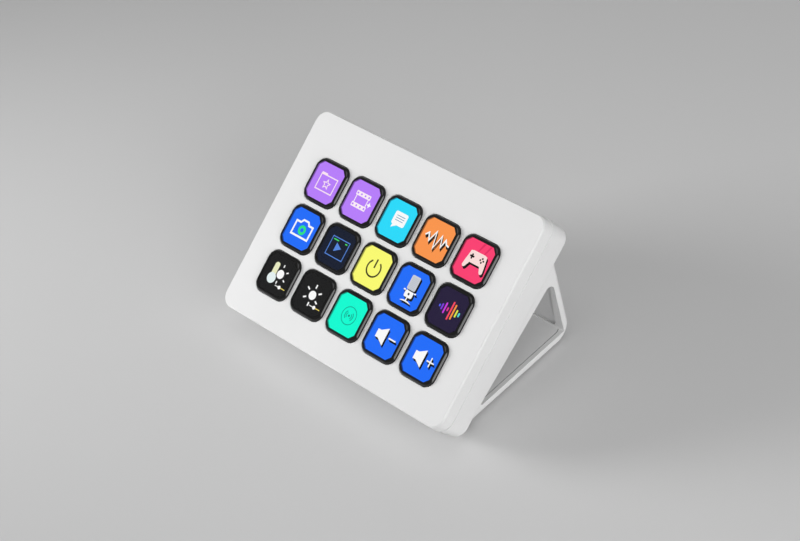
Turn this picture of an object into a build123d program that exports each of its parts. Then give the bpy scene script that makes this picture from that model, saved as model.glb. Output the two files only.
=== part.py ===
from build123d import *
from math import cos, dist, radians, sin, tan
import os

os.makedirs("parts", exist_ok=True)

# A macro keypad: fifteen display keys in a snap-on faceplate, on a hollow triangular stand.
# Millimetres. +X is right, +Y rearward and +Z up. The origin is the middle of the rubber
# sole's underside, on the desk. On the tilted panel, places are across and up from the
# middle of the front face, and depths are measured behind that face.

# ---- Key grid and the panel round it
key_columns = 5
key_rows = 3
key_pitch = 19.4
key_spacing = 2.26
side_border = 11.63
top_border = 16.53
bottom_border = 11.53
panel_corner = 5.5
face_tilt = 34.0

# ---- Faceplate
faceplate_depth = 5.2
faceplate_wall = 2.0
faceplate_skirt = 1.8
faceplate_draft = 1.5
face_edge = 0.5
tab_width = 8.0
tab_reach = 1.0
tab_thickness = 0.7
tab_depth = 4.1
tab_spacing = 36.0

# ---- Rear cover
seam_gap = 0.15
seam_step = 0.2
cover_side = 10.05
cover_draft = 2.5
cover_wall = 2.0
back_depth = 19.0
back_wall = 2.0
back_bevel = 36.0
shoulder_radius = 1.2
shoulder_wall = 5.5
shoulder_floor = 1.0
shoulder_clip = 2.5
cover_tab_depth = 8.0

# ---- Keys
key_corner = 4.0
key_proud = 1.7
cap_thickness = 0.7
cap_taper = 45.0
cap_seat = 0.05
key_travel = 1.3
key_gap = 0.25
flange_reach = 0.73
flange_clip = 2.0
flange_thickness = 0.7
flange_gap = 0.3
plug_inset = 1.32
plug_clip = 1.9
plug_fit = 0.04

# ---- Display stack behind the keys
press_clearance = 0.2
pad_height = 0.35
pad_length = 4.0
pad_width = 1.2
dome_sheet_thickness = 0.5
window_gap = 0.5
switch_board_thickness = 0.8
display_gap = 0.1
display_thickness = 2.0
backlight_thickness = 1.8

# ---- Mid frame
frame_fit = 0.2
frame_wall = 2.0
frame_top_gap = 0.1
tray_wall_side = 3.6
tray_wall_end = 4.6
tray_floor = 1.2
tray_ledge_side = 11.0
tray_ledge_end = 10.0
tray_window_clip = 4.0

# ---- Main board and what it carries
board_drop = 1.75
board_inset_side = 11.0
board_inset_end = 14.0
board_clip = 2.0
board_thickness = 1.2
board_rail_inset = 4.0
board_rail_length = 40.0
frame_rail_gap = 3.0
frame_rail_length = 60.0
rail_width = 1.6
lug_size = 5.0
chip_size = 12.0
chip_height = 1.2
chip_up = 8.0
ribbon_width = 24.0
ribbon_thickness = 0.3
ribbon_setback = 2.0
ribbon_tail = 6.0
ribbon_lead = 7.0
ribbon_bend = 0.8
socket_length = 4.0
socket_height = 1.0
socket_margin = 1.5
socket_slot_gap = 0.1

# ---- Data inlet
usb_up = 10.0
usb_width = 8.94
usb_height = 3.26
usb_wall = 0.3
usb_step = 0.6
tongue_width = 6.7
tongue_thickness = 0.7
tongue_step = 0.8
usb_clearance = 0.28
inlet_margin = 2.05
inlet_recess_corner = 3.0
inlet_recess_depth = 0.6

# ---- Stand
stand_inset = 4.5
stand_wall = 3.4
base_length = 59.3
ring_setback = 3.3
leg_lean = 1.3
heel_radius = 7.0
crest_radius = 2.6
toe_cut = 5.0
stand_edge_radius = 1.8
mount_foot = 1.9
mount_wedge = 3.9
throat_radius = 0.6
fold_radius = 0.5
apex_radius = 2.6
leg_recess = 1.0
leg_rim_low = 4.2
leg_rim_high = 2.1
leg_rim_top = 2.4
leg_recess_corner = 2.6
cable_window_width = 24.0
cable_window_height = 14.0
cable_window_corner = 4.0
cable_window_reach = 9.0
cable_hole_width = 22.0
cable_hole_height = 10.0
cable_hole_corner = 4.0
cable_hole_up = 10.5

# ---- Hooks that hold the panel on the stand
hook_width = 8.0
hook_neck = 2.0
hook_reach = 2.4
hook_thickness = 1.4
hook_gap = 0.2
hook_across = 60.0
hook_foot = 12.7
hook_head = 10.75
slot_gap = 0.25

# ---- Floor panel and sole
floor_rim = 1.75
floor_thickness = 1.2
floor_seam = 0.3
floor_corner = 3.5
floor_front_gap = 1.2
sole_inset_side = 6.5
sole_inset_end = 8.65
sole_corner = 5.0
sole_thickness = 1.6
sole_proud = 1.0
sole_edge = 0.3
sole_fit = 0.1

# ---- Keys and panel, from the grid outwards
key_size = key_pitch - key_spacing
flange_size = key_size + 2 * flange_reach
plug_size = key_size - 2 * plug_inset
window_size = plug_size + 2 * window_gap
pad_centre = (window_size + flange_size) / 4
panel_width = (key_columns - 1) * key_pitch + key_size + 2 * side_border
panel_height = (key_rows - 1) * key_pitch + key_size + top_border + bottom_border
grid_drop = (top_border - bottom_border) / 2

# ---- Depths in the stack, from the front face to the back
flange_depth = faceplate_wall + flange_gap
flange_foot = flange_depth + flange_thickness
dome_sheet_depth = flange_foot + key_travel + press_clearance + pad_height
switch_board_depth = dome_sheet_depth + dome_sheet_thickness
display_depth = switch_board_depth + switch_board_thickness + display_gap
plug_foot = display_depth - press_clearance - key_travel
backlight_depth = display_depth + display_thickness
tray_depth = backlight_depth + backlight_thickness
tray_foot = tray_depth + tray_floor
main_board_depth = tray_foot + board_drop
board_foot = main_board_depth + board_thickness
cover_depth = faceplate_depth + seam_gap
shoulder_depth = cover_depth + cover_side
back_inside = back_depth - back_wall
cap_proud = key_proud - cap_thickness
skirt_proud = cap_proud - cap_seat

# ---- Widths and heights inside the shells, and of the stand
faceplate_width = panel_width - 2 * seam_step
faceplate_height = panel_height - 2 * seam_step
faceplate_corner = panel_corner - seam_step
skirt_inside_width = faceplate_width - 2 * faceplate_skirt
skirt_inside_height = faceplate_height - 2 * faceplate_skirt
cavity_width = panel_width - 2 * cover_wall
cavity_height = panel_height - 2 * cover_wall
frame_width = panel_width - 2 * (cover_wall + frame_fit)
frame_height = panel_height - 2 * (cover_wall + frame_fit)
frame_clip = panel_corner - cover_wall - frame_fit
display_width = frame_width - 2 * (tray_wall_side + frame_fit)
display_height = frame_height - 2 * (tray_wall_end + frame_fit)
tray_window_width = display_width - 2 * tray_ledge_side
tray_window_height = display_height - 2 * tray_ledge_end
board_width = panel_width - 2 * board_inset_side
board_height = panel_height - 2 * board_inset_end
board_rail_across = board_width - 2 * board_rail_inset
frame_rail_across = board_width + 2 * frame_rail_gap
ribbon_end = ribbon_setback - tray_window_height / 2
ribbon_fold = ribbon_end + ribbon_tail
ribbon_start = ribbon_fold + ribbon_lead
inlet_recess_width = usb_width + 2 * inlet_margin
inlet_recess_height = usb_height + 2 * inlet_margin
stand_width = panel_width - 2 * stand_inset
sole_width = stand_width - 2 * sole_inset_side
sole_length = base_length - 2 * sole_inset_end


# ---- Side view of the stand, as (y, z) points and angles above the desk
def meet(start_a, angle_a, start_b, angle_b):
    """The point where two lines of the side view cross."""
    a, b = radians(angle_a), radians(angle_b)
    across = cos(a) * sin(b) - sin(a) * cos(b)
    gap_y, gap_z = start_b[0] - start_a[0], start_b[1] - start_a[1]
    along = (gap_y * sin(b) - gap_z * cos(b)) / across
    return (start_a[0] + along * cos(a), start_a[1] + along * sin(a))


def step(start, angle, length):
    """The point a length away from another, at an angle above the desk."""
    return (start[0] + length * cos(radians(angle)), start[1] + length * sin(radians(angle)))


leg_angle = 90.0 + leg_lean
toe = (-base_length / 2, sole_proud)
heel = (base_length / 2, sole_proud)
crest = meet(toe, face_tilt, heel, leg_angle)
toe_low = step(toe, 0, toe_cut)
toe_high = step(toe, face_tilt, toe_cut)
floor_start = (0, sole_proud + stand_wall)
leg_start = step(heel, leg_angle + 90, stand_wall)
mount_start = step(toe, face_tilt - 90, mount_foot)
mount_angle = face_tilt - mount_wedge
throat = meet(mount_start, mount_angle, floor_start, 0)
fold = meet(leg_start, leg_angle, floor_start, 0)
apex = meet(mount_start, mount_angle, leg_start, leg_angle)
toe_up = ring_setback - panel_height / 2
hook_low = toe_up + hook_foot
hook_high = toe_up + dist(toe, crest) - hook_head

# ---- Planes
back_corner = step(toe, face_tilt + 180, toe_up)
face_centre = step(back_corner, face_tilt + 90, back_depth)
face_plane = Plane(
    origin=(0, face_centre[0], face_centre[1]),
    x_dir=(1, 0, 0),
    z_dir=(0, -sin(radians(face_tilt)), cos(radians(face_tilt))),
)
outward = Axis(face_plane.origin, face_plane.z_dir)
side_plane = Plane(origin=face_plane.origin, x_dir=face_plane.y_dir, z_dir=(1, 0, 0))
leg_plane = Plane(
    origin=(0, fold[0], fold[1]),
    x_dir=(1, 0, 0),
    z_dir=(0, -sin(radians(leg_angle)), cos(radians(leg_angle))),
)


def behind(depth):
    """The plane parallel to the front face, a depth behind it."""
    return face_plane.offset(-depth)


def rearward(depth):
    """The same plane turned to face the rear, for drafted extrusions."""
    return Plane(origin=behind(depth).origin, x_dir=(1, 0, 0), z_dir=-face_plane.z_dir)


def finish(build, label):
    """Name a finished piece and write it out."""
    build.part.label = label
    export_step(build.part, f"parts/{label}.step")


def key_spot(row, column):
    """Where a key's middle lies across and up the panel."""
    across = (column - (key_columns - 1) / 2) * key_pitch
    up = ((key_rows - 1) / 2 - row) * key_pitch - grid_drop
    return (across, up)


def snap_tabs(depth, inside_height):
    """The outlines of tabs along a wall's inside, at the top and at the bottom of the panel."""
    with BuildSketch(behind(depth)) as tabs:
        for side in (-1, 1):
            with Locations([(x, side * (inside_height - tab_reach) / 2) for x in tab_spots]):
                Rectangle(tab_width, tab_reach)
    return tabs.sketch


def tab_notches(depth, inside_height):
    """The outlines of the mid frame's notches for such tabs, with a clearance all round."""
    reach = tab_reach - (inside_height - frame_height) / 2 + frame_fit
    with BuildSketch(behind(depth - frame_fit)) as notches:
        for side in (-1, 1):
            with Locations([(x, side * (frame_height - reach) / 2) for x in tab_spots]):
                Rectangle(tab_width + 2 * frame_fit, reach)
    return notches.sketch


key_spots = [key_spot(row, column) for row in range(key_rows) for column in range(key_columns)]
lug_spots = [
    (x * (board_width / 2 - lug_size), y * (board_height / 2 - lug_size))
    for x in (-1, 1) for y in (-1, 1)
]
hook_spots = [(x * hook_across / 2, up) for x in (-1, 1) for up in (hook_low, hook_high)]
tab_spots = [x * tab_spacing for x in (-1, 0, 1)]


# ---- Faceplate: a drafted shell with fifteen openings and six snap tabs
with BuildPart() as faceplate:
    with BuildSketch(behind(faceplate_depth)):
        RectangleRounded(faceplate_width, faceplate_height, faceplate_corner)
    extrude(amount=faceplate_depth, taper=faceplate_draft)
    chamfer(faceplate.faces().sort_by(outward)[-1].edges(), length=face_edge)
    with BuildSketch(behind(faceplate_depth)):
        RectangleRounded(skirt_inside_width, skirt_inside_height, faceplate_corner - faceplate_skirt)
    extrude(amount=faceplate_depth - faceplate_wall, mode=Mode.SUBTRACT)
    with BuildSketch(face_plane):
        with Locations(key_spots):
            RectangleRounded(key_size + 2 * key_gap, key_size + 2 * key_gap, key_corner + key_gap)
    extrude(amount=-faceplate_wall, mode=Mode.SUBTRACT)
    extrude(snap_tabs(tab_depth, skirt_inside_height), amount=-tab_thickness)
finish(faceplate, "faceplate")


# ---- Keys: a clear cap with a light plug, in a black skirt with a retaining flange
def build_lens(spot):
    with BuildPart() as lens:
        with BuildSketch(face_plane.offset(cap_proud)):
            with Locations(spot):
                RectangleRounded(key_size, key_size, key_corner)
        extrude(amount=cap_thickness, taper=cap_taper)
        with BuildSketch(behind(plug_foot)):
            with Locations(spot):
                Rectangle(plug_size, plug_size)
            chamfer(vertices(), length=plug_clip)
        extrude(amount=plug_foot + cap_proud)
    return lens


def build_skirt(spot):
    with BuildPart() as skirt:
        with BuildSketch(behind(flange_foot)):
            with Locations(spot):
                RectangleRounded(key_size, key_size, key_corner)
        extrude(amount=flange_foot + skirt_proud)
        with BuildSketch(behind(flange_foot)):
            with Locations(spot):
                Rectangle(flange_size, flange_size)
            chamfer(vertices(), length=flange_clip)
        extrude(amount=flange_thickness)
        with BuildSketch(behind(flange_foot)):
            with Locations(spot):
                Rectangle(plug_size + 2 * plug_fit, plug_size + 2 * plug_fit)
            chamfer(vertices(), length=plug_clip)
        extrude(amount=flange_foot + skirt_proud, mode=Mode.SUBTRACT)
    return skirt


for row in range(key_rows):
    for column in range(key_columns):
        spot = key_spot(row, column)
        finish(build_lens(spot), f"key_lens_{row + 1}_{column + 1}")
        finish(build_skirt(spot), f"key_skirt_{row + 1}_{column + 1}")


# ---- Dome sheet: silicone with a window under each key and a contact pad on either side of it
sheet_width = frame_width - 2 * (frame_wall + frame_fit)
sheet_height = frame_height - 2 * (frame_wall + frame_fit)

with BuildPart() as dome_sheet:
    with BuildSketch(behind(switch_board_depth)):
        Rectangle(sheet_width, sheet_height)
        with Locations(key_spots):
            Rectangle(window_size, window_size, mode=Mode.SUBTRACT)
    extrude(amount=dome_sheet_thickness)
    with BuildSketch(behind(dome_sheet_depth)):
        for side in (-1, 1):
            with Locations([(x + side * pad_centre, y) for x, y in key_spots]):
                Rectangle(pad_width, pad_length)
    extrude(amount=pad_height)
finish(dome_sheet, "dome_sheet")


# ---- Switch board: the circuit board that the dome sheet lies on
with BuildPart() as switch_board:
    with BuildSketch(behind(switch_board_depth)):
        Rectangle(sheet_width, sheet_height)
        with Locations(key_spots):
            Rectangle(window_size, window_size, mode=Mode.SUBTRACT)
    extrude(amount=-switch_board_thickness)
finish(switch_board, "switch_board")


# ---- Display and its backlight
with BuildPart() as lcd_panel:
    with BuildSketch(behind(display_depth)):
        Rectangle(display_width, display_height)
    extrude(amount=-display_thickness)
finish(lcd_panel, "lcd_panel")

with BuildPart() as backlight:
    with BuildSketch(behind(backlight_depth)):
        Rectangle(display_width, display_height)
    extrude(amount=-backlight_thickness)
finish(backlight, "backlight")


# ---- Mid frame: a tray that carries the stack, with notches for the tabs of both shells
frame_top = faceplate_wall + frame_top_gap
ledge_depth = switch_board_depth + switch_board_thickness

with BuildPart() as mid_frame:
    with BuildSketch(behind(tray_foot)):
        Rectangle(frame_width, frame_height)
        chamfer(vertices(), length=frame_clip)
    extrude(amount=tray_foot - frame_top)
    with BuildSketch(behind(ledge_depth)):
        Rectangle(frame_width - 2 * frame_wall, frame_height - 2 * frame_wall)
    extrude(amount=ledge_depth - frame_top, mode=Mode.SUBTRACT)
    with BuildSketch(behind(tray_depth)):
        Rectangle(display_width + 2 * frame_fit, display_height + 2 * frame_fit)
    extrude(amount=tray_depth - ledge_depth, mode=Mode.SUBTRACT)
    with BuildSketch(behind(tray_foot)):
        Rectangle(tray_window_width, tray_window_height)
        chamfer(vertices(), length=tray_window_clip)
    extrude(amount=tray_floor, mode=Mode.SUBTRACT)
    with BuildSketch(behind(tray_foot)):
        with Locations(lug_spots):
            Rectangle(lug_size, lug_size)
    extrude(amount=-(board_drop - frame_top_gap))
    for notches in (
        tab_notches(tab_depth, skirt_inside_height),
        tab_notches(cover_tab_depth, cavity_height),
    ):
        extrude(notches, amount=-(tab_thickness + 2 * frame_fit), mode=Mode.SUBTRACT)
finish(mid_frame, "mid_frame")


# ---- Main board, its chip, and the ribbon cable in its socket
with BuildPart() as main_board:
    with BuildSketch(behind(board_foot)):
        Rectangle(board_width, board_height)
        chamfer(vertices(), length=board_clip)
    extrude(amount=board_thickness)
finish(main_board, "main_board")

with BuildPart() as controller_chip:
    with BuildSketch(behind(main_board_depth)):
        with Locations((0, chip_up)):
            Rectangle(chip_size, chip_size)
    extrude(amount=chip_height)
finish(controller_chip, "controller_chip")

ribbon_high = -(tray_depth + ribbon_thickness / 2)
ribbon_low = -(main_board_depth - socket_height / 2)

with BuildPart() as ribbon_cable:
    with BuildSketch(side_plane):
        with BuildLine():
            FilletPolyline(
                (ribbon_start, ribbon_high),
                (ribbon_fold, ribbon_high),
                (ribbon_fold + ribbon_low - ribbon_high, ribbon_low),
                (ribbon_end, ribbon_low),
                radius=ribbon_bend,
            )
        trace(line_width=ribbon_thickness)
    extrude(amount=ribbon_width / 2, both=True)
finish(ribbon_cable, "ribbon_cable")

slot_height = ribbon_thickness + 2 * socket_slot_gap

with BuildPart() as ribbon_socket:
    with BuildSketch(behind(main_board_depth)):
        with Locations((0, ribbon_end)):
            Rectangle(ribbon_width + 2 * socket_margin, socket_length)
    extrude(amount=socket_height)
    with BuildSketch(behind(main_board_depth - (socket_height - slot_height) / 2)):
        with Locations((0, ribbon_end + socket_length / 4)):
            Rectangle(ribbon_width + 2 * socket_slot_gap, socket_length / 2 + 2 * socket_slot_gap)
    extrude(amount=slot_height, mode=Mode.SUBTRACT)
finish(ribbon_socket, "ribbon_socket")


# ---- Data inlet: a metal shell round a plastic tongue, on the rear of the main board
usb_mouth = back_depth - inlet_recess_depth - press_clearance

with BuildPart() as usb_socket:
    with BuildSketch(behind(board_foot)):
        with Locations((0, usb_up)):
            SlotOverall(usb_width, usb_height)
    extrude(amount=-(usb_mouth - board_foot))
    with BuildSketch(behind(board_foot + usb_step)):
        with Locations((0, usb_up)):
            SlotOverall(usb_width - 2 * usb_wall, usb_height - 2 * usb_wall)
    extrude(amount=-(usb_mouth - board_foot - usb_step), mode=Mode.SUBTRACT)
finish(usb_socket, "usb_socket")

with BuildPart() as usb_tongue:
    with BuildSketch(behind(board_foot + usb_step)):
        with Locations((0, usb_up)):
            Rectangle(tongue_width, tongue_thickness)
    extrude(amount=-(usb_mouth - board_foot - usb_step - tongue_step))
finish(usb_tongue, "usb_tongue")


# ---- Rear cover: drafted sides, a bevelled back, rails, snap tabs, hook slots and the inlet
shoulder_inset = cover_side * tan(radians(cover_draft))
slot_length = hook_neck + hook_reach + 2 * slot_gap
slot_shift = hook_neck / 2 + slot_gap - slot_length / 2

with BuildPart() as rear_cover:
    with BuildSketch(rearward(cover_depth)):
        RectangleRounded(panel_width, panel_height, panel_corner)
    extrude(amount=cover_side, taper=cover_draft)
    with BuildSketch(rearward(shoulder_depth)):
        RectangleRounded(
            panel_width - 2 * shoulder_inset,
            panel_height - 2 * shoulder_inset,
            panel_corner - shoulder_inset,
        )
    extrude(amount=back_depth - shoulder_depth, taper=back_bevel)
    back_edges, bevel_corners, shoulder_edges = rear_cover.edges().group_by(outward)[:3]
    fillet(shoulder_edges, radius=shoulder_radius)
    with BuildSketch(behind(shoulder_depth - shoulder_floor)):
        RectangleRounded(cavity_width, cavity_height, panel_corner - cover_wall)
    extrude(amount=shoulder_depth - shoulder_floor - cover_depth, mode=Mode.SUBTRACT)
    with BuildSketch(behind(back_inside)):
        Rectangle(panel_width - 2 * shoulder_wall, panel_height - 2 * shoulder_wall)
        chamfer(vertices(), length=shoulder_clip)
    extrude(amount=back_inside - cover_depth, mode=Mode.SUBTRACT)
    with BuildSketch(behind(back_inside)):
        with Locations((-board_rail_across / 2, 0), (board_rail_across / 2, 0)):
            Rectangle(rail_width, board_rail_length)
    extrude(amount=back_inside - board_foot)
    with BuildSketch(behind(back_inside)):
        with Locations((-frame_rail_across / 2, 0), (frame_rail_across / 2, 0)):
            Rectangle(rail_width, frame_rail_length)
    extrude(amount=back_inside - tray_foot - frame_top_gap)
    extrude(snap_tabs(cover_tab_depth, cavity_height), amount=-tab_thickness)
    with BuildSketch(behind(back_depth)):
        with Locations([(x, y + slot_shift) for x, y in hook_spots]):
            Rectangle(hook_width + 2 * slot_gap, slot_length)
        with Locations((0, usb_up)):
            SlotOverall(usb_width + 2 * usb_clearance, usb_height + 2 * usb_clearance)
    extrude(amount=back_wall, mode=Mode.SUBTRACT)
    with BuildSketch(behind(back_depth)):
        with Locations((0, usb_up)):
            RectangleRounded(inlet_recess_width, inlet_recess_height, inlet_recess_corner)
    extrude(amount=inlet_recess_depth, mode=Mode.SUBTRACT)
finish(rear_cover, "rear_cover")


# ---- Stand: one moulding, a triangular ring of mount plate, base and leg
leg_inside = dist(fold, apex)
floor_front = throat[0] + floor_front_gap
floor_rear = fold[0] + leg_recess
floor_length = floor_rear - floor_front
floor_centre = (floor_rear + floor_front) / 2
floor_width = stand_width - 2 * floor_rim


def floor_outline(margin):
    """The floor panel's outline, with a rounded corner at each side of the rear edge."""
    with Locations((0, floor_centre)):
        Rectangle(floor_width - 2 * margin, floor_length - 2 * margin)
    fillet(vertices().group_by(Axis.Y)[-1], radius=floor_corner - margin)


with BuildPart() as stand:
    with BuildSketch(Plane.YZ) as ring:
        with BuildLine():
            Polyline(toe_low, heel, crest, toe_high, close=True)
        make_face()
        fillet(ring.vertices().sort_by_distance(heel)[0], radius=heel_radius)
        fillet(ring.vertices().sort_by_distance(crest)[0], radius=crest_radius)
    extrude(amount=stand_width / 2, both=True)
    fillet(stand.faces().filter_by(Axis.X).edges(), radius=stand_edge_radius)
    with BuildSketch(Plane.YZ) as tunnel:
        with BuildLine():
            Polyline(throat, fold, apex, close=True)
        make_face()
        fillet(tunnel.vertices().sort_by_distance(throat)[0], radius=throat_radius)
        fillet(tunnel.vertices().sort_by_distance(fold)[0], radius=fold_radius)
        fillet(tunnel.vertices().sort_by_distance(apex)[0], radius=apex_radius)
    extrude(amount=stand_width / 2, both=True, mode=Mode.SUBTRACT)
    with BuildSketch(leg_plane) as leg_panel:
        with BuildLine():
            Polyline(
                (leg_rim_low - stand_width / 2, 0),
                (stand_width / 2 - leg_rim_low, 0),
                (stand_width / 2 - leg_rim_high, leg_inside - leg_rim_top),
                (leg_rim_high - stand_width / 2, leg_inside - leg_rim_top),
                close=True,
            )
        make_face()
        fillet(leg_panel.vertices().group_by(Axis.Z)[-1], radius=leg_recess_corner)
    extrude(amount=-leg_recess, mode=Mode.SUBTRACT)
    with BuildSketch(leg_plane):
        with Locations((0, cable_hole_up)):
            RectangleRounded(cable_hole_width, cable_hole_height, cable_hole_corner)
    extrude(amount=-stand_wall, mode=Mode.SUBTRACT)
    with BuildSketch(Plane.XY.offset(floor_start[1])):
        floor_outline(0)
    extrude(amount=-floor_thickness, mode=Mode.SUBTRACT)
    with BuildSketch(Plane.XY.offset(sole_proud)):
        RectangleRounded(sole_width + 2 * sole_fit, sole_length + 2 * sole_fit, sole_corner + sole_fit)
    extrude(amount=sole_thickness - sole_proud, mode=Mode.SUBTRACT)
    with BuildSketch(behind(back_depth)):
        with Locations((0, usb_up)):
            RectangleRounded(cable_window_width, cable_window_height, cable_window_corner)
    extrude(amount=-cable_window_reach, mode=Mode.SUBTRACT)
    with BuildSketch(behind(back_depth)):
        with Locations(hook_spots):
            Rectangle(hook_width, hook_neck)
    extrude(amount=back_wall + hook_gap)
    with BuildSketch(behind(back_inside - hook_gap)):
        with Locations([(x, y + hook_reach / 2) for x, y in hook_spots]):
            Rectangle(hook_width, hook_neck + hook_reach)
    extrude(amount=hook_thickness)
finish(stand, "stand")


# ---- Floor panel let into the base, and the rubber sole under it
with BuildPart() as floor_panel:
    with BuildSketch(Plane.XY.offset(floor_start[1])):
        floor_outline(floor_seam)
    extrude(amount=-floor_thickness)
finish(floor_panel, "floor_panel")

with BuildPart() as sole_pad:
    with BuildSketch():
        RectangleRounded(sole_width, sole_length, sole_corner)
    extrude(amount=sole_thickness)
    chamfer(sole_pad.faces().sort_by(Axis.Z)[0].edges(), length=sole_edge)
finish(sole_pad, "sole_pad")
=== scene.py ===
import math
import bmesh
import bpy
import numpy as np
from mathutils import Matrix, Vector


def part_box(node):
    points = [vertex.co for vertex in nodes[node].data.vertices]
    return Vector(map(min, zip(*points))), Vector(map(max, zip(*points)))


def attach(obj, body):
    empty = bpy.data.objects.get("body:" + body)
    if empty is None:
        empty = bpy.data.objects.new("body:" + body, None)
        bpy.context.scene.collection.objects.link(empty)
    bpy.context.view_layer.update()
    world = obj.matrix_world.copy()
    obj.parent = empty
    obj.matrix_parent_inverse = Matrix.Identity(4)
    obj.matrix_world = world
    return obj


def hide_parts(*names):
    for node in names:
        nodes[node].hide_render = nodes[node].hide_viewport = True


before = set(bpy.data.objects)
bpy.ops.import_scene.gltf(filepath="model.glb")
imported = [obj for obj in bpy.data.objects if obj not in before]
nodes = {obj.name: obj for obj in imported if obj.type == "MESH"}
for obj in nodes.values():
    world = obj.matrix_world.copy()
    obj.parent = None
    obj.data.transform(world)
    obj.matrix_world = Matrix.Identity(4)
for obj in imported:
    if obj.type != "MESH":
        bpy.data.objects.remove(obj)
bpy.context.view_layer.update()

print("frame loaded:", len(nodes), "nodes")

# places on the tilted panel are across, up and out from the middle of its front face, in mm
panel = {
    "tilt": 34.0,
    "displayDepth": 7.25,  # from the front face back to the display's middle
    "keyPitch": 19.4,
    "gridDrop": 2.5,  # how far the keys sit below the face's middle
}

tilt = math.radians(panel["tilt"])
acrossDir = np.array([1.0, 0.0, 0.0])
upDir = np.array([0.0, math.cos(tilt), math.sin(tilt)])
outDir = np.array([0.0, -math.sin(tilt), math.cos(tilt)])
displayLow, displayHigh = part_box("lcd_panel")
faceCentre = np.array((displayLow + displayHigh) / 2) + outDir * panel["displayDepth"] / 1000


def onPanel(places):
    # rows of across, up and out in mm to metres in the desk's frame
    return faceCentre + places @ np.stack([acrossDir, upDir, outDir]) / 1000


def keySpot(row, column):
    # the key's middle across and up, counted from column 3 and row 2
    return (column - 3) * panel["keyPitch"], (2 - row) * panel["keyPitch"] - panel["gridDrop"]


# the camera's place and its two axes, all across, up and out on the panel
view = {
    "place": (474.0, 17.0, 595.8),
    "back": (0.613374, 0.020636, 0.789523),
    "right": (0.693551, 0.464161, -0.550946),
    "focal": 94.338,
    "sensor": 36.0,
    "nearest": 0.01,
    "farthest": 20,
}


def turned(direction):
    # a direction on the panel to one in the desk's frame
    across, up, out = direction
    return Vector(across * acrossDir + up * upDir + out * outDir)


def placeCamera():
    data = bpy.data.cameras.new("camera")
    data.lens, data.sensor_width = view["focal"], view["sensor"]
    data.clip_start, data.clip_end = view["nearest"], view["farthest"]
    camera = bpy.data.objects.new("camera", data)
    bpy.context.scene.collection.objects.link(camera)
    backAxis, rightAxis = turned(view["back"]), turned(view["right"])
    pose = Matrix((rightAxis, backAxis.cross(rightAxis), backAxis)).transposed().to_4x4()
    pose.translation = Vector(onPanel(np.array(view["place"])))
    camera.matrix_world = pose
    bpy.context.scene.camera = camera
    bpy.context.scene.view_settings.view_transform = "Standard"


placeCamera()
print("camera placed")


# shader maths as plain expressions
class Wire:
    # wraps one socket of a material's node tree
    def __init__(self, tree, socket=None):
        self.tree, self.socket = tree, socket

    def add(self, kind, settings=None, values=None, out=0):
        # any node: its settings go in first, then values or links for its sockets
        node = self.tree.nodes.new(kind)
        for name, value in (settings or {}).items():
            setattr(node, name, value)
        for name, value in (values or {}).items():
            if isinstance(value, Wire):
                self.tree.links.new(value.socket, node.inputs[name])
            else:
                node.inputs[name].default_value = value
        return Wire(self.tree, node.outputs[out]) if len(node.outputs) else self

    def maths(self, operation, *values):
        return self.add("ShaderNodeMath", {"operation": operation}, dict(enumerate(values)))

    def __add__(self, other):
        return self.maths("ADD", self, other)

    def __radd__(self, other):
        return self.maths("ADD", other, self)

    def __sub__(self, other):
        return self.maths("SUBTRACT", self, other)

    def __rsub__(self, other):
        return self.maths("SUBTRACT", other, self)

    def __mul__(self, other):
        return self.maths("MULTIPLY", self, other)

    def __rmul__(self, other):
        return self.maths("MULTIPLY", other, self)

    def fraction(self):
        return self.maths("FRACT", self)

    def distance(self, other):
        return self.maths("ABSOLUTE", self - other)

    def larger(self, other):
        return self.maths("MAXIMUM", self, other)

    def step(self, low, high):  # 0 below low, 1 above high, smooth between
        return self.add("ShaderNodeMapRange", {"interpolation_type": "SMOOTHSTEP"},
                        {0: self, 1: low, 2: high, 3: 0.0, 4: 1.0})

    def noise(self, scale, detail=3.0, roughness=0.55, stretch=(1.0, 1.0, 1.0)):
        moved = self.add("ShaderNodeMapping", values={"Vector": self, "Scale": stretch})
        return self.add("ShaderNodeTexNoise", values={
            "Vector": moved, "Scale": scale, "Detail": detail, "Roughness": roughness})

    def cells(self, scale):
        return self.add("ShaderNodeTexVoronoi", values={"Vector": self, "Scale": scale})

    def part(self, axis):
        return self.add("ShaderNodeSeparateXYZ", values={0: self}, out="XYZ".index(axis))

    def mix(self, first, second):  # first colour at 0, second at 1
        values = {0: self, 6: first, 7: second}
        return self.add("ShaderNodeMix", {"data_type": "RGBA"}, values, out=2)

    def bump(self, metres):
        return self.add("ShaderNodeBump", values={"Height": self, "Distance": metres})


def linear(red, green, blue):
    # a display colour of 0 to 255 to the scene's linear colour, by the usual display curve
    share = np.array([red, green, blue]) / 255
    return (*np.where(share <= 0.04045, share / 12.92, ((share + 0.055) / 1.055) ** 2.4), 1.0)


def grey(level, blueness=0.0):
    # a linear grey, with a share of blue added
    return (level, level, level * (1 + blueness), 1.0)


def newMaterial(name):
    material = bpy.data.materials.new(name)
    material.use_nodes = True
    material.node_tree.nodes.clear()
    start = Wire(material.node_tree)
    return material, start, start.add("ShaderNodeTexCoord", out=3)  # Object coordinates, in metres


def close(start, **sockets):
    # one Principled shader to the output; each name is its socket's own, with _ for a space
    values = {name.replace("_", " "): value for name, value in sockets.items()}
    shader = start.add("ShaderNodeBsdfPrincipled", values=values)
    start.add("ShaderNodeOutputMaterial", values={"Surface": shader})


whitePlastic = {
    "cloudScale": 22.0, "cloudEdges": (0.3, 0.7), "cloud": 0.03,
    "grainScale": 5200.0, "pitScale": 3400.0, "grainShare": 0.55, "grainDepth": 0.000005,
    "speckEdges": (0.2, 0.7), "speck": 0.006,
    "patchScale": 160.0, "patch": 0.1, "ior": 1.5,
}


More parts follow.
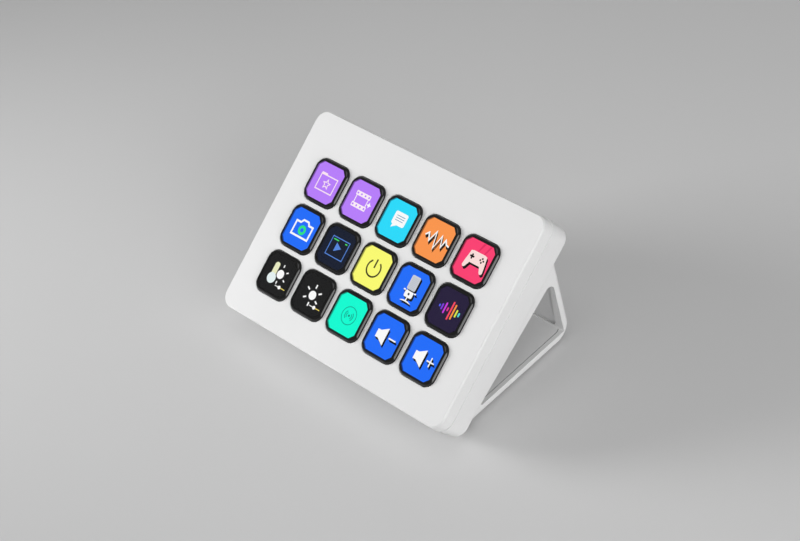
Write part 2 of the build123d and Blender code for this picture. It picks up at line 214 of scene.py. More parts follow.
def mouldedPlastic(name, paleness, roughness):
    # spark-eroded mould grain, faint flow clouds in the colour, a little more shine in patches
    look = whitePlastic
    material, start, place = newMaterial(name)
    clouds = place.noise(look["cloudScale"], detail=4.0).step(*look["cloudEdges"])
    fine = place.noise(look["grainScale"], detail=2.0, roughness=0.6)
    height = fine * look["grainShare"] + place.cells(look["pitScale"]) * (1 - look["grainShare"])
    shade = clouds * look["cloud"] + height.step(*look["speckEdges"]) * look["speck"]
    patchy = place.noise(look["patchScale"])
    close(start, Base_Color=shade.mix(grey(paleness), grey(0.0)),
          Roughness=roughness - look["patch"] / 2 + patchy * look["patch"], IOR=look["ior"],
          Normal=height.bump(look["grainDepth"]))
    return material


blackPlastic = {
    "colour": grey(0.004), "dust": grey(0.02), "dustScale": 1500.0, "dustReach": 0.1,
    "roughness": 0.1, "shine": 0.6, "ior": 1.5,
    "swirl": 0.08, "swirlScale": 420.0, "swirlStretch": (1.0, 0.3, 1.0), "swirlDepth": 0.0000002,
}


def polishedBlack(name):
    # gloss black moulding with soft swirl marks in its shine and sparse dust
    look = blackPlastic
    material, start, place = newMaterial(name)
    swirl = place.noise(look["swirlScale"], roughness=0.5, stretch=look["swirlStretch"])
    clean = place.cells(look["dustScale"]).step(0.0, look["dustReach"])
    close(start, Base_Color=clean.mix(look["dust"], look["colour"]),
          Roughness=look["roughness"] + swirl * look["swirl"], IOR=look["ior"],
          Specular_IOR_Level=look["shine"], Normal=swirl.bump(look["swirlDepth"]))
    return material


clearPlastic = {
    "ior": 1.49, "shine": 0.42, "roughness": 0.085,
    "haze": 0.03, "hazeScale": 260.0, "hazeEdges": (0.5, 0.8),
    "waveScale": 130.0, "waveDepth": 0.0000004,
}


def clearAcrylic(name):
    # polished clear cap, with fingertip haze in patches
    look = clearPlastic
    material, start, place = newMaterial(name)
    haze = place.noise(look["hazeScale"], detail=4.0, roughness=0.6).step(*look["hazeEdges"])
    wave = place.noise(look["waveScale"], detail=2.0)
    close(start, Base_Color=grey(1.0), Roughness=look["roughness"] + haze * look["haze"],
          IOR=look["ior"], Specular_IOR_Level=look["shine"], Transmission_Weight=1.0,
          Normal=wave.bump(look["waveDepth"]))
    return material


boardFinish = {
    "green": (0.008, 0.07, 0.028, 1.0), "track": (0.02, 0.16, 0.06, 1.0),
    "pitch": 0.00127, "laneEdges": (0.1, 0.16), "breakScale": 240.0, "breakEdges": (0.18, 0.3),
    "crossEdges": (0.86, 0.9), "crossScale": 90.0, "crossBreaks": (0.5, 0.55),
    "roughness": 0.28, "uneven": 0.1, "unevenScale": 500.0, "ior": 1.5, "copperDepth": 0.00002,
}


def solderMask(name):
    # green lacquer over fine copper tracks, which show as raised paler lines
    look = boardFinish
    material, start, place = newMaterial(name)
    columns, rows = [place.part(axis) * (1 / look["pitch"]) for axis in "XY"]
    unbroken = place.cells(look["breakScale"]).step(*look["breakEdges"])
    lane = (1 - columns.fraction().distance(0.5).step(*look["laneEdges"])) * unbroken
    breaks = place.noise(look["crossScale"]).step(*look["crossBreaks"])
    copper = lane.larger(rows.fraction().step(*look["crossEdges"]) * breaks)
    close(start, Base_Color=copper.mix(look["green"], look["track"]),
          Roughness=look["roughness"] + place.noise(look["unevenScale"]) * look["uneven"],
          IOR=look["ior"], Normal=copper.bump(look["copperDepth"]))
    return material


rubberFinish = {
    "powder": 0.16, "powderScale": 70.0, "powderEdges": (0.35, 0.75), "paler": 1.3,
    "dimpleScale": 1600.0, "ior": 1.43,
}


def siliconeRubber(name, colour, roughness, dimple):
    # soft rubber: powdery and finely pebbled
    look = rubberFinish
    material, start, place = newMaterial(name)
    powder = place.noise(look["powderScale"], detail=4.0)
    pale = (*[min(1.0, part * look["paler"]) for part in colour[:3]], 1.0)
    close(start, Base_Color=powder.step(*look["powderEdges"]).mix(colour, pale),
          Roughness=roughness + powder * look["powder"], IOR=look["ior"],
          Normal=place.cells(look["dimpleScale"]).bump(dimple))
    return material


steelFinish = {
    "bright": grey(0.62, 0.02), "dull": grey(0.53, 0.04),
    "stainScale": 420.0, "stainEdges": (0.35, 0.7), "roughness": 0.24,
    "lines": 0.16, "lineScale": 1400.0, "lineStretch": (0.08, 1.0, 1.0), "lineDepth": 0.000002,
}


def drawnSteel(name):
    # plated steel with drawing lines and faint stains
    look = steelFinish
    material, start, place = newMaterial(name)
    lines = place.noise(look["lineScale"], roughness=0.6, stretch=look["lineStretch"])
    stain = place.noise(look["stainScale"]).step(*look["stainEdges"])
    close(start, Base_Color=stain.mix(look["bright"], look["dull"]), Metallic=1.0,
          Roughness=look["roughness"] + lines * look["lines"], Normal=lines.bump(look["lineDepth"]))
    return material


glassFinish = {
    "gap": grey(0.004), "point": grey(0.015, 0.3),
    "pointsPerMetre": 5000.0, "pointEdges": (0.1, 0.3), "pointDepth": 0.000001,
    "roughness": 0.1, "pointRoughness": 0.05, "ior": 1.52,
}


def displayGlass(name):
    # near-black panel with its grid of picture points
    look = glassFinish
    material, start, place = newMaterial(name)
    across, up = [place.part(axis) * look["pointsPerMetre"] for axis in "XY"]
    points = across.fraction().step(*look["pointEdges"]) * up.fraction().step(*look["pointEdges"])
    close(start, Base_Color=points.mix(look["gap"], look["point"]),
          Roughness=look["roughness"] + points * look["pointRoughness"], IOR=look["ior"],
          Normal=points.bump(look["pointDepth"]))
    return material


filmFinish = {
    "shade": grey(0.73, 0.05), "bright": grey(0.82, 0.03),
    "weaveScale": 700.0, "weaveEdges": (0.2, 0.7), "weaveDepth": 0.000004,
    "roughness": 0.35, "weave": 0.1,
}


def reflectorFilm(name):
    # white film behind the light guide, with the pearly cells of its filler
    look = filmFinish
    material, start, place = newMaterial(name)
    weave = place.cells(look["weaveScale"])
    close(start, Base_Color=weave.step(*look["weaveEdges"]).mix(look["shade"], look["bright"]),
          Roughness=look["roughness"] + weave * look["weave"],
          Normal=weave.bump(look["weaveDepth"]))
    return material


ribbonFinish = {
    "film": (0.32, 0.11, 0.015, 1.0), "copper": (0.62, 0.3, 0.08, 1.0),
    "linesPerMetre": 2000.0, "lineStart": (0.25, 0.4), "lineEnd": (0.6, 0.75), "lineDepth": 0.00003,
    "roughness": 0.3, "uneven": 0.1, "unevenScale": 300.0,
}


def amberFilm(name):
    # flat cable: copper lines under amber film
    look = ribbonFinish
    material, start, place = newMaterial(name)
    lane = (place.part("X") * look["linesPerMetre"]).fraction()
    line = lane.step(*look["lineStart"]) * (1 - lane.step(*look["lineEnd"]))
    close(start, Base_Color=line.mix(look["film"], look["copper"]),
          Roughness=look["roughness"] + place.noise(look["unevenScale"]) * look["uneven"],
          Normal=line.bump(look["lineDepth"]))
    return material


resinFinish = {
    "dark": grey(0.012), "pale": grey(0.03), "gritScale": 2600.0, "gritEdges": (0.3, 0.8),
    "roughness": 0.5, "grit": 0.15, "gritDepth": 0.00001,
}


def blackResin(name):
    # matt black moulding resin with fine filler in it
    look = resinFinish
    material, start, place = newMaterial(name)
    grit = place.noise(look["gritScale"])
    close(start, Base_Color=grit.step(*look["gritEdges"]).mix(look["dark"], look["pale"]),
          Roughness=look["roughness"] + grit * look["grit"], Normal=grit.bump(look["gritDepth"]))
    return material


lacquer, resin = solderMask("boardLacquer"), blackResin("blackResin")
finishes = {  # shells by paleness and roughness; rubbers by colour, roughness and pebble depth
    "faceplate": mouldedPlastic("faceplateWhite", 0.80, 0.44),
    "rear_cover": mouldedPlastic("coverWhite", 0.80, 0.46),
    "stand": mouldedPlastic("standWhite", 0.79, 0.48),
    "floor_panel": mouldedPlastic("floorWhite", 0.77, 0.5),
    "mid_frame": mouldedPlastic("frameBlack", 0.03, 0.55),
    "dome_sheet": siliconeRubber("domeSilicone", grey(0.43, 0.05), 0.62, 0.00001),
    "switch_board": lacquer,
    "main_board": lacquer,
    "lcd_panel": displayGlass("panelGlass"),
    "backlight": reflectorFilm("reflectorFilm"),
    "ribbon_cable": amberFilm("ribbonFilm"),
    "ribbon_socket": resin,
    "controller_chip": resin,
    "usb_socket": drawnSteel("inletSteel"),
    "usb_tongue": resin,
    "sole_pad": siliconeRubber("soleRubber", grey(0.045, 0.05), 0.7, 0.00003),
}
clearCap, blackSkirt = clearAcrylic("capAcrylic"), polishedBlack("skirtBlack")
for name, node in nodes.items():
    if name.startswith("key_lens"):
        finish = clearCap
    elif name.startswith("key_skirt"):
        finish = blackSkirt
    else:
        finish = finishes[name]
    node.data.materials.clear()
    node.data.materials.append(finish)
print("finishes set")

# key pictures: flat shapes, each a grid of rows running straight between two edge lines, in mm
keyPicture = {
    "half": 7.2, "clip": 1.9, "height": -0.55, "layer": 0.006,
    # the guide's sides glow with painted spill light from the picture: strong at their foot, almost
    # none at their top
    "glow": 1.0, "paintedSpillFoot": 0.6, "paintedSpillTop": 0.02,  # brightness of the picture and the guide's sides
    "sideGap": 0.01, "sideTop": 0.03,
}
inks = {  # display colours
    "white": (255, 255, 255), "black": (3, 3, 4), "violet": (186, 128, 255),
    "cyan": (38, 222, 255), "orange": (255, 152, 77), "rose": (255, 64, 116),
    "blue": (27, 110, 255), "navy": (12, 22, 44), "yellow": (255, 255, 115),
    "plum": (34, 24, 58), "coal": (20, 20, 21), "mint": (0, 255, 213),
    "blush": (255, 232, 246), "petal": (255, 240, 252), "slate": (70, 150, 190),
    "darkRose": (232, 44, 98), "cream": (255, 226, 222), "soot": (12, 6, 9),
    "leaf": (40, 230, 130), "steel": (86, 136, 225), "lamp": (70, 230, 110),
    "olive": (62, 58, 26), "silver": (205, 209, 218), "pewter": (178, 184, 196),
    "lens": (24, 28, 40), "amber": (255, 232, 110), "shade": (18, 18, 19),
    "straw": (236, 238, 196), "ice": (232, 244, 244), "teal": (0, 120, 102),
    "indigo": (84, 96, 240), "purple": (128, 60, 225), "magenta": (205, 60, 225),
    "crimson": (225, 50, 150), "coral": (255, 74, 96), "peach": (255, 150, 60),
    "lime": (226, 240, 70), "aqua": (90, 225, 225),
}
drawing = {
    "leastCosine": 0.4, "mostMitre": 2.2,  # how far a stroke's sharp turns may stick out
    "discPoints": 25, "cornerPoints": 7, "sparkWaist": 0.32,
}


def between(first, second, steps=2):
    # each row runs straight from a point of the first edge line to its partner on the second
    share = np.linspace(0, 1, steps)[None, :, None]
    first, second = np.asarray(first, float)[:, None], np.asarray(second, float)[:, None]
    return first * (1 - share) + second * share


def stroke(points, width, closed=False):
    # the line's points pushed out to both sides along the mitred normal, by half the width over
    # the cosine of half the turn, with sharp turns held back
    points = np.asarray(points, float)
    if closed:
        points = np.vstack([points, points[:1]])
    leg = np.diff(points, axis=0)
    leg /= np.linalg.norm(leg, axis=1, keepdims=True)
    before = np.vstack([leg[-1:] if closed else leg[:1], leg])
    after = np.vstack([leg, leg[:1] if closed else leg[-1:]])
    mean = before + after
    mean /= np.linalg.norm(mean, axis=1, keepdims=True)
    normal = np.stack([-mean[:, 1], mean[:, 0]], 1)
    cosine = np.maximum((mean * before).sum(1), drawing["leastCosine"])
    side = normal * np.clip(1 / cosine, 1, drawing["mostMitre"])[:, None] * width / 2
    return between(points + side, points - side)


def arc(x, y, radius, start, end, count=40):
    # points at equal turns along a circle, in degrees
    turn = np.radians(np.linspace(start, end, count))
    return np.stack([x + radius * np.cos(turn), y + radius * np.sin(turn)], 1)


def disc(x, y, radius):
    # upper and lower half circles joined by straight rows
    count = drawing["discPoints"]
    return between(arc(x, y, radius, 180, 0, count), arc(x, y, radius, 180, 360, count))


def slab(x, y, width, height, corner=0.0):
    # a rectangle with quarter-circle corners, its left outline joined to its right one
    turn = np.radians(np.linspace(0, 90, drawing["cornerPoints"]))
    inX, inY = corner * (1 - np.sin(turn)), corner * (1 - np.cos(turn))
    down = np.concatenate([inY, height - inY[::-1]])
    inset = np.concatenate([inX, inX[::-1]])
    left = np.stack([x - width / 2 + inset, y + height / 2 - down], 1)
    right = np.stack([x + width / 2 - inset, y + height / 2 - down], 1)
    return between(left, right)


def bar(x0, y0, x1, y1, width):
    # a straight stroke
    return stroke([(x0, y0), (x1, y1)], width)


def spark(x, y, size):
    # a four-pointed star: its upper outline joined to its lower one
    waist = size * drawing["sparkWaist"]
    upper = [(x - size, y), (x - waist, y + waist), (x, y + size),
             (x + waist, y + waist), (x + size, y)]
    return between(upper, [(px, 2 * y - py) for px, py in upper])


def inked(ink, *shapes):
    # each shape with the name of its ink
    return [(shape, ink) for shape in shapes]


def shadowed(ink, *shapes, shift=(0.85, -0.7)):
    # the same shapes in black twice, stepped below and to the right, then in their ink
    steps = np.outer([1.0, 0.5], shift)
    dark = [shape + step for step in steps for shape in shapes]
    return inked("black", *dark) + inked(ink, *shapes)


def rays(x, y, near, far, width, turns):
    # bars from the near to the far radius, at the given turns in degrees
    ways = [(math.cos(turn), math.sin(turn)) for turn in np.radians(turns)]
    return [stroke(np.array([x, y]) + np.outer([near, far], way), width) for way in ways]


def slider(y, start, end, knob):
    # a line in two colours with a round knob where they meet
    return (inked("amber", bar(knob, y, end, y, 0.3))
            + inked("white", bar(start, y, knob, y, 0.3), disc(knob, y, 0.72)))


def speaker():
    # a box that widens to a cone: its upper outline joined to its lower one
    return between([(-4.5, 1.5), (-3.0, 1.5), (-3.0, 1.5), (0.1, 3.3)],
                   [(-4.5, -1.6), (-3.0, -1.6), (-3.0, -1.6), (0.1, -3.5)])


def folderPicture():
    # an outlined folder with its tab, and a star whose radius alternates round ten turns
    star = [(0.2 + 1.8 * reach * math.sin(turn), -0.35 + 1.8 * reach * math.cos(turn))
            for turn, reach in zip(np.radians(np.arange(10) * 36), [1, 0.45] * 5)]
    edge = [(-4.2, -3.3), (-4.2, 2.8), (4.4, 2.8), (4.4, -3.3)]
    return inked("blush", stroke(edge, 0.45, True), slab(-2.8, 3.1, 3.1, 0.9, 0.3),
                 stroke(star, 0.4, True))


def filmPicture():
    # two perforated bands, the frame between them, and a spark
    bands = [slab(-0.6, y, 7.4, 1.75, 0.3) for y in (2.5, -2.05)]
    sides = [bar(x, 2.0, x, -1.5, 0.4) for x in (-3.6, 2.4)]
    holes = [slab(x, y, 0.75, 0.7, 0.15) for y in (2.5, -2.05) for x in (-3.5, -1.6, 0.4, 2.3)]
    return (inked("petal", *bands, *sides) + inked("violet", *holes)
            + inked("white", spark(3.8, 0.0, 1.15)))


def speechPicture():
    # a bubble with a pointed tail and three lines in it
    bubble = slab(0.3, 0.85, 6.3, 5.1, 0.8)
    tail = between([(-2.0, -1.5), (0.4, -1.5)], [(-2.1, -3.1), (-2.1, -3.1)])
    lines = [bar(-1.7, y, x, y, 0.26) for x, y in ((2.5, 1.9), (2.5, 1.0), (2.2, 0.1))]
    return inked("white", bubble, tail) + inked("slate", *lines)


def wavePicture():
    # a stroke through the peaks and dips of a sound wave
    places = [-5.6, -4.3, -3.0, -1.3, 0.1, 1.7, 3.1, 4.0, 5.1, 6.4]
    swings = [0.4, 1.7, -1.0, 3.1, -2.9, 2.5, -1.4, 1.8, 0.3, 0.0]
    return shadowed("white", stroke(list(zip(places, swings)), 0.62), shift=(0.75, -0.95))


def gamepadPicture():
    # two mirrored grips and the middle between them, a cross, four buttons and two faint stripes
    left = between([(-3.4, 3.1), (-3.7, 1.5), (-4.2, -1.0), (-4.5, -2.9), (-4.0, -3.5)],
                   [(-2.2, 3.4), (-2.2, 0.5), (-2.0, -1.1), (-2.9, -2.9), (-3.4, -3.5)])
    right = left * np.array([-1, 1]) + np.array([0.8, 0])
    middle = between([(-2.4, 3.4), (-2.4, -1.1)], [(3.0, 3.4), (3.0, -1.1)])
    cross = [bar(-3.0, 1.2, -1.0, 1.2, 0.7), bar(-2.0, 2.2, -2.0, 0.2, 0.7)]
    buttons = [disc(x, y, 0.38) for x, y in ((3.45, 1.2), (1.95, 1.2), (2.7, 1.95), (2.7, 0.45))]
    stripes = [between([(x, 7.1), (x + 0.9, 7.1)], [(x - 2.0, 1.0), (x - 1.7, 1.0)])
               for x in (0.4, 3.4)]
    return (inked("darkRose", *stripes) + shadowed("cream", left, right, middle)
            + inked("soot", *cross, *buttons))


def cameraPicture():
    # an outlined camera body with a ringed lens
    shell = [(-4.4, -3.1), (-4.4, 2.2), (-2.2, 2.2), (-1.3, 3.4),
             (1.3, 3.4), (2.2, 2.2), (4.4, 2.2), (4.4, -3.1)]
    return (inked("white", stroke(shell, 0.75, True)) + inked("leaf", disc(0, -0.4, 1.9))
            + inked("blue", disc(0, -0.4, 0.85)))


def playerPicture():
    # an outlined window with a play arrow and two marks in its top bar
    outline = [(-4.4, -3.6), (-4.4, 3.7), (4.4, 3.7), (4.4, -3.6)]
    arrow = between([(-1.4, 2.0), (1.7, 0.3)], [(-1.4, -1.6), (1.7, 0.3)])
    marks = [bar(-3.6, 2.75, -1.0, 2.75, 0.42), bar(2.4, 2.75, 3.5, 2.75, 0.42)]
    return inked("steel", stroke(outline, 0.34, True), arrow) + inked("lamp", *marks)


def powerPicture():
    # an open circle with a bar in its gap
    circle = stroke(arc(0.1, 0, 3.2, 126, 414, 48), 0.66)
    return inked("olive", circle, bar(0.1, 0.2, 0.1, 3.7, 0.7))


def microphonePicture():
    # a slotted head on a body with two arms, a stem and a curved foot
    body = slab(0.3, -2.05, 3.9, 2.6, 0.6)
    arms = [slab(x, -1.0, 1.0, 0.55, 0.2) for x in (-2.3, 2.9)]
    foot = between([(-2.2, -5.0), (-1.0, -4.55), (0.3, -4.45), (1.6, -4.55), (2.8, -5.0)],
                   [(-2.2, -5.2), (-1.0, -5.05), (0.3, -5.0), (1.6, -5.05), (2.8, -5.2)])
    slots = [bar(-1.2, y, 1.8, y, 0.16) for y in np.arange(-0.1, 4.6, 0.6)]
    return (shadowed("white", body, *arms, bar(0.3, -3.2, 0.3, -4.7, 0.5), foot)
            + shadowed("silver", slab(0.2, 2.3, 4.1, 5.5, 0.6), shift=(0.9, -0.4))
            + inked("pewter", *slots) + inked("lens", disc(0.3, -2.0, 0.45)))


def barsPicture():
    # rounded bars of a level meter, all centred on one line
    bars = [(-4.6, 1.0, "indigo"), (-3.4, 2.4, "purple"), (-2.0, 4.2, "magenta"),
            (-0.7, 1.5, "crimson"), (0.7, 7.0, "coral"), (2.0, 5.8, "peach"),
            (3.4, 2.9, "lime"), (4.7, 1.6, "aqua")]
    return [(slab(x, 0, 0.72, length, 0.34), ink) for x, length, ink in bars]


def warmthPicture():
    # a thermometer with a dark edge in front of a small sun, over a slider
    stem, bulb = slab(-2.6, 1.3, 2.4, 6.2, 1.1), disc(-2.6, -2.05, 2.12)
    edge = [slab(-2.6, 1.3, 2.9, 6.7, 1.3), disc(-2.6, -2.05, 2.3)]
    sun = [disc(0.7, 0.6, 1.75), *rays(0.7, 0.6, 2.8, 3.9, 0.5, (90, 30, -30, -90))]
    return (inked("white", *sun) + inked("shade", *edge) + inked("straw", stem)
            + inked("ice", bulb) + slider(-3.9, 0.7, 6.1, 3.1))


def brightnessPicture():
    # a sun over a slider
    turns = (90, 30, -30, -90, -150, 150)
    sun = [disc(-0.2, -0.2, 1.75), *rays(-0.2, -0.2, 2.8, 4.3, 0.62, turns)]
    return inked("white", *sun) + slider(-3.9, 0.5, 6.1, 3.1)


def beaconPicture():
    # a dot with arcs of waves to both sides, in a circle
    waves = [stroke(arc(0.1, 0, radius, side - 48, side + 48, 15), 0.26)
             for radius in (1.25, 1.95) for side in (0, 180)]
    circle = stroke(arc(0.1, 0, 3.4, 0, 354, 60), 0.24, True)
    return inked("teal", circle, disc(0.1, 0, 0.42), *waves)


def quieterPicture():
    # the loudspeaker and a minus
    return shadowed("white", speaker(), bar(1.6, 0.1, 5.1, 0.1, 0.55))


def louderPicture():
    # the loudspeaker and a plus
    plus = [bar(1.6, 0.0, 5.1, 0.0, 0.5), bar(3.35, 1.8, 3.35, -1.8, 0.5)]
    return shadowed("white", speaker(), *plus)


keyPictures = {  # by row and column: the ground's ink and the shapes on it
    (1, 1): ("violet", folderPicture), (1, 2): ("violet", filmPicture),
    (1, 3): ("cyan", speechPicture), (1, 4): ("orange", wavePicture),
    (1, 5): ("rose", gamepadPicture), (2, 1): ("blue", cameraPicture),
    (2, 2): ("navy", playerPicture), (2, 3): ("yellow", powerPicture),
    (2, 4): ("blue", microphonePicture), (2, 5): ("plum", barsPicture),
    (3, 1): ("coal", warmthPicture), (3, 2): ("coal", brightnessPicture),
    (3, 3): ("mint", beaconPicture), (3, 4): ("blue", quieterPicture),
    (3, 5): ("blue", louderPicture),
}


meshing = {"cornerPoints": 9, "samePlace": 1e-7, "sharpTurn": 35.0}  # metres and degrees


def clippedSquare(half, clip):
    # the eight corners, from the top's left end, against the clock
    return [(clip - half, half), (-half, half - clip), (-half, clip - half), (clip - half, -half),
            (half - clip, -half), (half, clip - half), (half, half - clip), (half - clip, half)]


def raised(grid, height):
    # a flat grid's points at a height
    return np.concatenate([grid, np.full((*grid.shape[:2], 1), height)], 2)


def tilePlate():
    # the left half of the clipped square joined to its right half
    corners = clippedSquare(keyPicture["half"], keyPicture["clip"])
    return between(corners[:4], corners[:3:-1], 3)


def ring(half, cut, height, rounded=True):
    # a square's closed path: one corner, an arc or a straight cut, turned through four quarters
    share = np.linspace(0, 1, meshing["cornerPoints"])
    x, y = 1 - share, share
    if rounded:
        x, y = np.cos(share * np.pi / 2), np.sin(share * np.pi / 2)
    corner = half - cut + cut * x + 1j * (half - cut + cut * y)
    path = np.concatenate([corner * 1j**quarter for quarter in range(4)] + [corner[:1]])
    return np.stack([path.real, path.imag, np.full(len(path), height)], 1)


def guideSides():
    # the light guide's sides, straight up from the picture's edge, which carry painted glow spilled
    # from the picture
    half, clip = keyPicture["half"] + keyPicture["sideGap"], keyPicture["clip"]
    heights = keyPicture["height"], keyCap["top"] - keyPicture["sideTop"]
    return np.stack([ring(half, clip, height, False) for height in heights])


def gridFaces(grid):
    # corner numbers of every cell of a grid whose points run row by row
    rows, columns = grid.shape[:2]
    corner = np.arange(rows - 1)[:, None] * columns + np.arange(columns - 1)[None]
    return np.stack([corner, corner + columns, corner + columns + 1, corner + 1], -1).reshape(-1, 4)


def facingOut(faces, flat):
    # turns the grid's faces over where their summed area, seen from the front, comes out negative
    legA, legB = flat[faces[:, 2]] - flat[faces[:, 0]], flat[faces[:, 3]] - flat[faces[:, 1]]
    area = (legA[:, 0] * legB[:, 1] - legA[:, 1] * legB[:, 0]).sum()
    return faces[:, ::-1] if area < 0 else faces


def newPiece(name, places, faces, material):
    # a mesh from places in metres, and its faces
    mesh = bpy.data.meshes.new(name)
    mesh.from_pydata(places.tolist(), [], faces.tolist())
    mesh.materials.append(material)
    piece = bpy.data.objects.new(name, mesh)
    bpy.context.scene.collection.objects.link(piece)
    return piece


def joined(piece):
    # points of a grid that share a place become one
    mesh = bmesh.new()
    mesh.from_mesh(piece.data)
    bmesh.ops.remove_doubles(mesh, verts=mesh.verts[:], dist=meshing["samePlace"])
    mesh.to_mesh(piece.data)
    mesh.free()


def buildPicture(row, column, ground, shapes):
    # every shape lies a layer above the last, inside the light guide, whose sides carry painted
    # glow spilled from the picture
    grids = [raised(grid, keyPicture["height"] + level * keyPicture["layer"])
             for level, (grid, ink) in enumerate([(tilePlate(), ground), *shapes])]
    grids.append(guideSides())
    points, faces, colours, first = [], [], [], 0
    for grid, ink in zip(grids, [ground, *[ink for grid, ink in shapes], ground]):
        flat = grid.reshape(-1, 3)
        points.append(flat)
        faces.append(facingOut(gridFaces(grid), flat) + first)
        colours.append(np.tile(linear(*inks[ink]), (len(flat), 1)))
        first += len(flat)
    # painted spill light: the sides glow in the ground's ink, bright at the foot and nearly black
    # at the top
    lowHalf = len(colours[-1]) // 2
    colours[-1][:lowHalf, :3] *= keyPicture["paintedSpillFoot"]
    colours[-1][lowHalf:, :3] *= keyPicture["paintedSpillTop"]
    places = onPanel(np.concatenate(points) + [*keySpot(row, column), 0.0])
    piece = newPiece(f"key_picture_{row}_{column}", places, np.concatenate(faces), pictureGlow)
    paint = piece.data.color_attributes.new("ink", "FLOAT_COLOR", "POINT")
    paint.data.foreach_set("color", np.concatenate(colours).astype(np.float32).ravel())
    joined(piece)
    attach(piece, f"key_{row}_{column}")


litScreen = {
    "pointsAcross": 5200.0, "pointsUp": 6270.0, "gapShare": 0.16,  # points are counted per metre
    "gapDim": 0.05, "unevenDim": 0.02, "unevenScale": 60.0, "roughness": 0.3, "uneven": 0.1,
    "unlit": grey(0.001),
}


def screenGlow(name):
    # lit picture points: the ink colour, a little uneven, dimmed between the points of the screen
    look = litScreen
    material, start, place = newMaterial(name)
    ink = start.add("ShaderNodeVertexColor", {"layer_name": "ink"})
    across, up = place.part("X") * look["pointsAcross"], place.part("Y") * look["pointsUp"]
    columns, rows = [way.fraction().step(0.0, look["gapShare"]) for way in (across, up)]
    points = columns * rows
    uneven = place.noise(look["unevenScale"], detail=2.0)
    dimming = look["gapDim"] * (1 - points) + look["unevenDim"] * uneven
    close(start, Base_Color=look["unlit"], Roughness=look["roughness"] + uneven * look["uneven"],
          Specular_IOR_Level=0.0, Emission_Color=dimming.mix(ink, grey(0.0)),
          Emission_Strength=keyPicture["glow"])
    return material


def sweptPiece(name, rings, material, row, column, node):
    # a closed path swept along a profile of rings, smooth where the profile bends gently
    grid = np.stack(rings)
    places = onPanel(grid.reshape(-1, 3) + [*keySpot(row, column), 0.0])
    piece = newPiece(f"{name}_{row}_{column}", places, gridFaces(grid), material)
    joined(piece)
    piece.data.shade_smooth()
    piece.data.set_sharp_from_angle(angle=math.radians(meshing["sharpTurn"]))
    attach(piece, f"key_{row}_{column}")
    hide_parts(f"{node}_{row}_{column}")


keyCap = {"guideHalf": 7.25, "clip": 1.9, "top": 1.15, "sunk": 0.01, "guideFoot": -4.75}


def buildCap(row, column):
    # the clear light guide, from its flat top down to its foot over the display
    clip, half, foot = keyCap["clip"], keyCap["guideHalf"], keyCap["guideFoot"]
    top = keyCap["top"] - keyCap["sunk"]
    rings = [ring(0, 0, top), ring(half, clip, top, False),
             ring(half, clip, foot, False), ring(0, 0, foot)]
    sweptPiece("key_cap", rings, clearCap, row, column, "key_lens")


keySleeve = {
    "half": 8.57, "corner": 4.0, "slope": 1.27,  # outer wall, and the border's width inside it
    "wideArc": 1.291, "wideSteps": 6, "bevel": 0.3, "bevelTurn": 40.0,
    "tightArc": 0.476, "tightSteps": 4, "brimTurn": 18.0,
    "wellHalf": 7.29, "lip": 0.04,
    "flangeHalf": 9.3, "flangeClip": 2.0, "flangeTop": -2.3, "foot": -3.0,
}


def borderSlope():
    # rings down the black border, by the turn of its surface: a wide arc from the flat top, a
    # straight bevel and a tight arc to the brim; an arc reaches radius * cos(turn) and drops
    # radius * (1 - sin(turn))
    wide, tight, bevel = keySleeve["wideArc"], keySleeve["tightArc"], keySleeve["bevel"]
    middle, brim = math.radians(keySleeve["bevelTurn"]), math.radians(keySleeve["brimTurn"])
    first = np.linspace(math.pi / 2, middle, keySleeve["wideSteps"])
    last = np.linspace(middle, brim, keySleeve["tightSteps"])
    bevelReach = (wide - tight) * math.cos(middle) + bevel * math.sin(middle)
    bevelDrop = wide - (wide - tight) * math.sin(middle) + bevel * math.cos(middle)
    reach = np.concatenate([wide * np.cos(first), bevelReach + tight * np.cos(last)])
    drop = np.concatenate([wide * (1 - np.sin(first)), bevelDrop - tight * np.sin(last)])
    return [ring(keySleeve["half"] + out, keySleeve["corner"] + out, keyCap["top"] - down)
            for out, down in zip(reach - keySleeve["slope"], drop)]


def buildSleeve(row, column):
    # sloping border, outer wall, flange with clipped corners, and the light guide's well
    flange, cut = keySleeve["flangeHalf"], keySleeve["flangeClip"]
    top, foot = keySleeve["flangeTop"], keySleeve["foot"]
    well, clip, lip = keySleeve["wellHalf"], keyCap["clip"], keyCap["top"] - keySleeve["lip"]
    slope = borderSlope()
    rings = [*slope, ring(keySleeve["half"], keySleeve["corner"], top),
             ring(flange, cut, top, False), ring(flange, cut, foot, False),
             ring(well, clip, foot, False), ring(well, clip, lip, False), slope[0]]
    sweptPiece("key_sleeve", rings, blackSkirt, row, column, "key_skirt")


seamLedge = {"halfWide": 58.77, "halfHigh": 41.77, "corner": 5.27, "top": -4.9, "foot": -5.65}


def buildSeamLedge():
    # the cover's thin ledge behind the parting line: one ring carried down, its halves moved
    # apart to the panel's width
    half, corner = seamLedge["halfHigh"], seamLedge["corner"]
    heights = seamLedge["top"], seamLedge["foot"]
    grid = np.stack([ring(half, corner, height) for height in heights])
    grid[..., 0] += np.sign(grid[..., 0]) * (seamLedge["halfWide"] - half)
    places = onPanel(grid.reshape(-1, 3))
    piece = newPiece("seam_ledge", places, gridFaces(grid), finishes["rear_cover"])
    joined(piece)
    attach(piece, "case")


# a dark strip laid in the gap round the tray: painted shade for the gap's dark depth
floorShadeStrip = {
    "gap": 0.3, "corner": 3.5, "cornerPoints": 9, "slack": 0.02, "below": 0.12, "depth": 0.9,
}


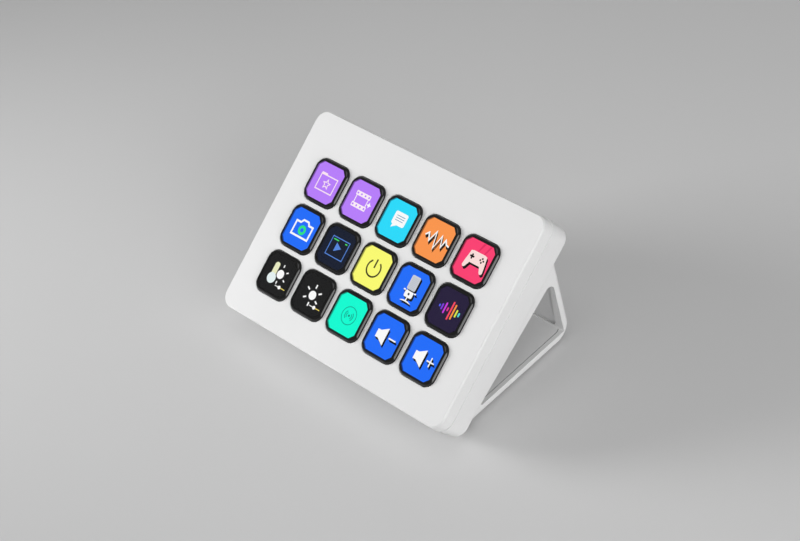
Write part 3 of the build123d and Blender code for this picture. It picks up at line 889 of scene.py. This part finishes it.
def shadeStripLine(margin, height):
    # the tray's edge moved in by a margin: square at the front, two arcs at the rear, in mm
    low, high = np.array(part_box("floor_panel")) * 1000
    gap, corner = floorShadeStrip["gap"], floorShadeStrip["corner"]
    wide, front, rear = high[0] + gap, low[1] - gap + margin, high[1] + gap - corner
    turn = np.radians(np.linspace(0, 90, floorShadeStrip["cornerPoints"]))
    reach = corner - margin
    x = np.concatenate([[wide - margin], wide - corner + reach * np.cos(turn)])
    y = np.concatenate([[front], rear + reach * np.sin(turn)])
    line = np.concatenate([np.stack([x, y], 1), np.stack([-x, y], 1)[::-1], [[x[0], y[0]]]])
    return np.column_stack([line, np.full(len(line), high[2] + height)])


def buildFloorShadeStrip():
    # a black strip between the stand's tray and its floor, painted shade that darkens the gap: the
    # edge line swept round a section
    slack, top, foot = floorShadeStrip["slack"], -floorShadeStrip["below"], -floorShadeStrip["depth"]
    inner = floorShadeStrip["gap"] - slack
    section = (slack, top), (inner, top), (inner, foot), (slack, foot), (slack, top)
    grid = np.stack([shadeStripLine(*corner) for corner in section])
    places, faces = grid.reshape(-1, 3) / 1000, gridFaces(grid)[:, ::-1]
    piece = newPiece("floor_shade_strip", places, faces, finishes["sole_pad"])
    joined(piece)
    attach(piece, "case")


pictureGlow = screenGlow("screenGlow")
for (row, column), (ground, draw) in keyPictures.items():
    buildPicture(row, column, ground, draw())
    buildCap(row, column)
    buildSleeve(row, column)
buildSeamLedge()
buildFloorShadeStrip()
print("key pictures drawn:", len(keyPictures))

# floor and light
stage = {
    "size": 6.0, "paleness": 0.66, "darker": 0.99, "cloudScale": 6.0, "cloudEdges": (0.3, 0.7),
    "roughness": 0.6, "uneven": 0.1,
    "sky": 0.23, "aim": (0, 0, 0.03),
}
lamps = {  # side and place in m, power in W, beam in degrees, and if it shows in shiny pieces
    "lowLeft": {
        "side": 0.30, "power": 0.70, "beam": 60, "mirrored": False, "place": (-0.60, -0.34, 0.19)},
    "overhead": {
        "side": 0.9, "power": 2.7, "beam": 180, "mirrored": True, "place": (0.15, 0.1, 1.35)},
    "lowRight": {
        "side": 0.68, "power": 5.3, "beam": 180, "mirrored": True, "place": (0.84, -0.23, 0.36)},
}


def buildFloor():
    # one flat square grid on the desk plane
    side = np.linspace(-stage["size"] / 2, stage["size"] / 2, 3)
    x, y = np.meshgrid(side, side)
    grid = np.stack([x, y, 0 * x], -1)
    material, start, place = newMaterial("studioFloor")
    cloud = place.noise(stage["cloudScale"])
    dull, pale = grey(stage["paleness"] * stage["darker"]), grey(stage["paleness"])
    close(start, Base_Color=cloud.step(*stage["cloudEdges"]).mix(dull, pale),
          Roughness=stage["roughness"] + cloud * stage["uneven"])
    floor = newPiece("floor", grid.reshape(-1, 3), gridFaces(grid)[:, ::-1], material)


def softLamp(name, side, power, beam, mirrored, place):
    # a square lamp that faces the object
    light = bpy.data.lights.new(name, "AREA")
    light.shape, light.size, light.energy = "SQUARE", side, power
    light.spread = math.radians(beam)
    lamp = bpy.data.objects.new(name, light)
    bpy.context.scene.collection.objects.link(lamp)
    lamp.location, lamp.visible_glossy = place, mirrored
    lamp.rotation_euler = (Vector(stage["aim"]) - Vector(place)).to_track_quat("-Z", "Y").to_euler()


def buildSky():
    world = bpy.data.worlds.new("studio")
    bpy.context.scene.world = world
    world.use_nodes = True
    sky = world.node_tree.nodes["Background"].inputs
    sky["Color"].default_value, sky["Strength"].default_value = grey(stage["sky"]), 1.0


buildFloor()
buildSky()
for name, lamp in lamps.items():
    softLamp(name, **lamp)
print("floor and lamps placed")
